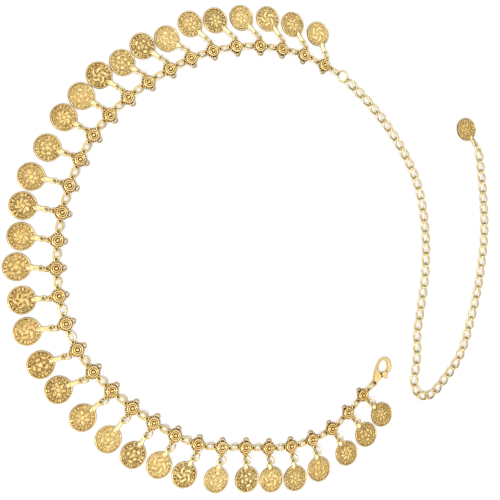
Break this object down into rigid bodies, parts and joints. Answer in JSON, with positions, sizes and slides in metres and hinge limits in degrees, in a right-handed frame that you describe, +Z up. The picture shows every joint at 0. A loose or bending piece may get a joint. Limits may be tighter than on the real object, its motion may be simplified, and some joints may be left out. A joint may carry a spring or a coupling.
{
  "type": "coin waist chain",
  "caption": "Waist chain of button stations and oval rings with a hinged coin hanging from each, a sprung lobster clasp and a long twisted-link extender, lying flat as an open loop.",
  "frame": {"origin": "centre of the bounding box on the surface the chain lies on", "axes": "+Z up from that surface, +X from the middle of the coin belt towards the free end of the extender, +Y towards the end of the belt that carries the extender"},
  "size_m": [0.3844, 0.3498, 0.0076],
  "materials": {
    "belt_gold": "antique gold plate, dark in the grooves",
    "coin_gold": "antique gold plate, satin, dark in the relief",
    "chain_gold": "pale bright gold plate",
    "clasp_gold": "bright warm gold plate"
  },
  "bodies": {
    "chain": {"belt_section_01": "belt_gold", "belt_section_02": "belt_gold", "belt_section_03": "belt_gold", "belt_section_04": "belt_gold", "belt_section_05": "belt_gold", "belt_section_06": "belt_gold", "belt_section_07": "belt_gold", "belt_section_08": "belt_gold", "belt_section_09": "belt_gold", "belt_section_10": "belt_gold", "belt_section_11": "belt_gold", "belt_section_12": "belt_gold", "chain_section_01": "chain_gold", "chain_section_02": "chain_gold", "chain_section_03": "chain_gold", "chain_section_04": "chain_gold", "chain_section_05": "chain_gold", "chain_section_06": "chain_gold", "chain_section_07": "chain_gold", "chain_section_08": "chain_gold", "clasp_body": "clasp_gold"},
    "clasp_lever": {"clasp_lever": "clasp_gold"},
    "coin_01": {"coin_01": "coin_gold"},
    "coin_02": {"coin_02": "coin_gold"},
    "coin_03": {"coin_03": "coin_gold"},
    "coin_04": {"coin_04": "coin_gold"},
    "coin_05": {"coin_05": "coin_gold"},
    "coin_06": {"coin_06": "coin_gold"},
    "coin_07": {"coin_07": "coin_gold"},
    "coin_08": {"coin_08": "coin_gold"},
    "coin_09": {"coin_09": "coin_gold"},
    "coin_10": {"coin_10": "coin_gold"},
    "coin_11": {"coin_11": "coin_gold"},
    "coin_12": {"coin_12": "coin_gold"},
    "coin_13": {"coin_13": "coin_gold"},
    "coin_14": {"coin_14": "coin_gold"},
    "coin_15": {"coin_15": "coin_gold"},
    "coin_16": {"coin_16": "coin_gold"},
    "coin_17": {"coin_17": "coin_gold"},
    "coin_18": {"coin_18": "coin_gold"},
    "coin_19": {"coin_19": "coin_gold"},
    "coin_20": {"coin_20": "coin_gold"},
    "coin_21": {"coin_21": "coin_gold"},
    "coin_22": {"coin_22": "coin_gold"},
    "coin_23": {"coin_23": "coin_gold"},
    "coin_24": {"coin_24": "coin_gold"},
    "coin_25": {"coin_25": "coin_gold"},
    "coin_26": {"coin_26": "coin_gold"},
    "coin_27": {"coin_27": "coin_gold"},
    "coin_28": {"coin_28": "coin_gold"},
    "coin_29": {"coin_29": "coin_gold"},
    "coin_30": {"coin_30": "coin_gold"},
    "coin_31": {"coin_31": "coin_gold"},
    "coin_32": {"coin_32": "coin_gold"},
    "coin_33": {"coin_33": "coin_gold"},
    "coin_34": {"coin_34": "coin_gold"},
    "coin_end": {"coin_end": "coin_gold"}
  },
  "joints": [
    {"name": "coin_01_hang", "type": "hinge", "parent": "chain", "child": "coin_01", "pos_m": [0.07897, -0.11493, 0.00298], "axis": [-0.6145, -0.6661, 0.4226], "range_deg": [0, 110]},
    {"name": "coin_02_hang", "type": "hinge", "parent": "chain", "child": "coin_02", "pos_m": [0.06571, -0.12754, 0.00298], "axis": [-0.6796, -0.5997, 0.4226], "range_deg": [0, 110]},
    {"name": "coin_03_hang", "type": "hinge", "parent": "chain", "child": "coin_03", "pos_m": [0.05056, -0.13925, 0.00298], "axis": [-0.7548, -0.5016, 0.4226], "range_deg": [0, 110]},
    {"name": "coin_04_hang", "type": "hinge", "parent": "chain", "child": "coin_04", "pos_m": [0.03214, -0.14695, 0.00298], "axis": [-0.8852, -0.1945, 0.4226], "range_deg": [0, 110]},
    {"name": "coin_05_hang", "type": "hinge", "parent": "chain", "child": "coin_05", "pos_m": [0.01341, -0.15067, 0.00298], "axis": [-0.8966, -0.1324, 0.4226], "range_deg": [0, 110]},
    {"name": "coin_06_hang", "type": "hinge", "parent": "chain", "child": "coin_06", "pos_m": [-0.00553, -0.15063, 0.00298], "axis": [-0.8979, -0.1233, 0.4226], "range_deg": [0, 110]},
    {"name": "coin_07_hang", "type": "hinge", "parent": "chain", "child": "coin_07", "pos_m": [-0.02386, -0.14874, 0.00298], "axis": [-0.9035, -0.071, 0.4226], "range_deg": [0, 110]},
    {"name": "coin_08_hang", "type": "hinge", "parent": "chain", "child": "coin_08", "pos_m": [-0.04294, -0.14734, 0.00298], "axis": [-0.8834, 0.2024, 0.4226], "range_deg": [0, 110]},
    {"name": "coin_09_hang", "type": "hinge", "parent": "chain", "child": "coin_09", "pos_m": [-0.06249, -0.14364, 0.00298], "axis": [-0.7803, 0.461, 0.4226], "range_deg": [0, 110]},
    {"name": "coin_10_hang", "type": "hinge", "parent": "chain", "child": "coin_10", "pos_m": [-0.08012, -0.13576, 0.00298], "axis": [-0.7603, 0.4933, 0.4226], "range_deg": [0, 110]},
    {"name": "coin_11_hang", "type": "hinge", "parent": "chain", "child": "coin_11", "pos_m": [-0.09618, -0.12588, 0.00298], "axis": [-0.736, 0.5288, 0.4226], "range_deg": [0, 110]},
    {"name": "coin_12_hang", "type": "hinge", "parent": "chain", "child": "coin_12", "pos_m": [-0.11182, -0.11474, 0.00298], "axis": [-0.69, 0.5876, 0.4226], "range_deg": [0, 110]},
    {"name": "coin_13_hang", "type": "hinge", "parent": "chain", "child": "coin_13", "pos_m": [-0.1266, -0.10195, 0.00298], "axis": [-0.5596, 0.7129, 0.4226], "range_deg": [0, 110]},
    {"name": "coin_14_hang", "type": "hinge", "parent": "chain", "child": "coin_14", "pos_m": [-0.14011, -0.08776, 0.00298], "axis": [-0.3159, 0.8495, 0.4226], "range_deg": [0, 110]},
    {"name": "coin_15_hang", "type": "hinge", "parent": "chain", "child": "coin_15", "pos_m": [-0.15128, -0.07201, 0.00298], "axis": [-0.2708, 0.8649, 0.4226], "range_deg": [0, 110]},
    {"name": "coin_16_hang", "type": "hinge", "parent": "chain", "child": "coin_16", "pos_m": [-0.15935, -0.05365, 0.00298], "axis": [-0.1093, 0.8997, 0.4226], "range_deg": [0, 110]},
    {"name": "coin_17_hang", "type": "hinge", "parent": "chain", "child": "coin_17", "pos_m": [-0.16423, -0.03466, 0.00298], "axis": [-0.0628, 0.9041, 0.4226], "range_deg": [0, 110]},
    {"name": "coin_18_hang", "type": "hinge", "parent": "chain", "child": "coin_18", "pos_m": [-0.16614, -0.01555, 0.00298], "axis": [0.0539, 0.9047, 0.4226], "range_deg": [0, 110]},
    {"name": "coin_19_hang", "type": "hinge", "parent": "chain", "child": "coin_19", "pos_m": [-0.16541, 0.00334, 0.00298], "axis": [0.0916, 0.9017, 0.4226], "range_deg": [0, 110]},
    {"name": "coin_20_hang", "type": "hinge", "parent": "chain", "child": "coin_20", "pos_m": [-0.16236, 0.02233, 0.00298], "axis": [0.1187, 0.8985, 0.4226], "range_deg": [0, 110]},
    {"name": "coin_21_hang", "type": "hinge", "parent": "chain", "child": "coin_21", "pos_m": [-0.15715, 0.04077, 0.00298], "axis": [0.1381, 0.8957, 0.4226], "range_deg": [0, 110]},
    {"name": "coin_22_hang", "type": "hinge", "parent": "chain", "child": "coin_22", "pos_m": [-0.14999, 0.0591, 0.00298], "axis": [0.2223, 0.8786, 0.4226], "range_deg": [0, 110]},
    {"name": "coin_23_hang", "type": "hinge", "parent": "chain", "child": "coin_23", "pos_m": [-0.14052, 0.07683, 0.00298], "axis": [0.402, 0.8123, 0.4226], "range_deg": [0, 110]},
    {"name": "coin_24_hang", "type": "hinge", "parent": "chain", "child": "coin_24", "pos_m": [-0.12884, 0.09176, 0.00298], "axis": [0.4063, 0.8101, 0.4226], "range_deg": [0, 110]},
    {"name": "coin_25_hang", "type": "hinge", "parent": "chain", "child": "coin_25", "pos_m": [-0.11551, 0.1051, 0.00298], "axis": [0.4417, 0.7914, 0.4226], "range_deg": [0, 110]},
    {"name": "coin_26_hang", "type": "hinge", "parent": "chain", "child": "coin_26", "pos_m": [-0.1006, 0.11698, 0.00298], "axis": [0.3794, 0.8231, 0.4226], "range_deg": [0, 110]},
    {"name": "coin_27_hang", "type": "hinge", "parent": "chain", "child": "coin_27", "pos_m": [-0.08468, 0.12769, 0.00298], "axis": [0.4297, 0.798, 0.4226], "range_deg": [0, 110]},
    {"name": "coin_28_hang", "type": "hinge", "parent": "chain", "child": "coin_28", "pos_m": [-0.06868, 0.13668, 0.00298], "axis": [0.3749, 0.8251, 0.4226], "range_deg": [0, 110]},
    {"name": "coin_29_hang", "type": "hinge", "parent": "chain", "child": "coin_29", "pos_m": [-0.0514, 0.14461, 0.00298], "axis": [0.5475, 0.7222, 0.4226], "range_deg": [0, 110]},
    {"name": "coin_30_hang", "type": "hinge", "parent": "chain", "child": "coin_30", "pos_m": [-0.03234, 0.14952, 0.00298], "axis": [0.5364, 0.7305, 0.4226], "range_deg": [0, 110]},
    {"name": "coin_31_hang", "type": "hinge", "parent": "chain", "child": "coin_31", "pos_m": [-0.01272, 0.15211, 0.00298], "axis": [0.608, 0.6721, 0.4226], "range_deg": [0, 110]},
    {"name": "coin_32_hang", "type": "hinge", "parent": "chain", "child": "coin_32", "pos_m": [0.00632, 0.15199, 0.00298], "axis": [0.702, 0.5733, 0.4226], "range_deg": [0, 110]},
    {"name": "coin_33_hang", "type": "hinge", "parent": "chain", "child": "coin_33", "pos_m": [0.02526, 0.14944, 0.00298], "axis": [0.7497, 0.5093, 0.4226], "range_deg": [0, 110]},
    {"name": "coin_34_hang", "type": "hinge", "parent": "chain", "child": "coin_34", "pos_m": [0.04314, 0.14362, 0.00298], "axis": [0.837, 0.3477, 0.4226], "range_deg": [0, 110]},
    {"name": "coin_end_hang", "type": "hinge", "parent": "chain", "child": "coin_end", "pos_m": [0.18186, 0.08196, 0.00388], "axis": [0.7369, 0.5276, 0.4226], "range_deg": [0, 110]},
    {"name": "clasp_lever_turn", "type": "hinge", "parent": "chain", "child": "clasp_lever", "pos_m": [0.08474, -0.09603, 0.0013], "axis": [0, 0, -1], "range_deg": [0, 25], "stiffness_Nm_per_rad": 0.001, "springref_deg": -17.19}
  ]
}
